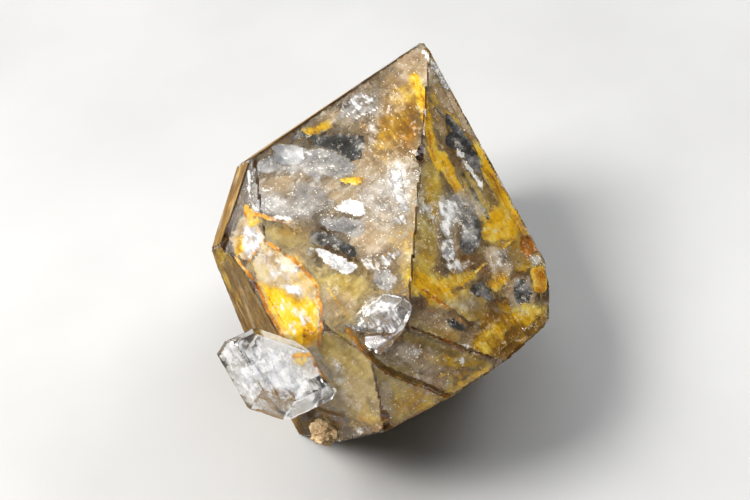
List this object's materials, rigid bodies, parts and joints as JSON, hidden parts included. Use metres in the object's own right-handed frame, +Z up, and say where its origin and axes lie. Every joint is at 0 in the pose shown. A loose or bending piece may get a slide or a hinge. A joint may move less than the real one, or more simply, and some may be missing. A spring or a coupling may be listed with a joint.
{
  "type": "herkimer diamond crystal",
  "caption": "Large smoky golden herkimer diamond quartz crystal, doubly terminated, with a small clear satellite crystal grown on its side.",
  "frame": {"origin": "centre of the level resting face under the crystal", "axes": "+Z up from the resting face, +Y away from the side seen in front, +X to the right"},
  "size_m": [0.0744, 0.0938, 0.0632],
  "materials": {
    "smoky_golden_quartz": "polished",
    "tan_dolostone": "rough"
  },
  "bodies": {
    "root": {"quartz_crystal": "smoky_golden_quartz", "dolostone_remnant": "tan_dolostone"}
  },
  "joints": []
}
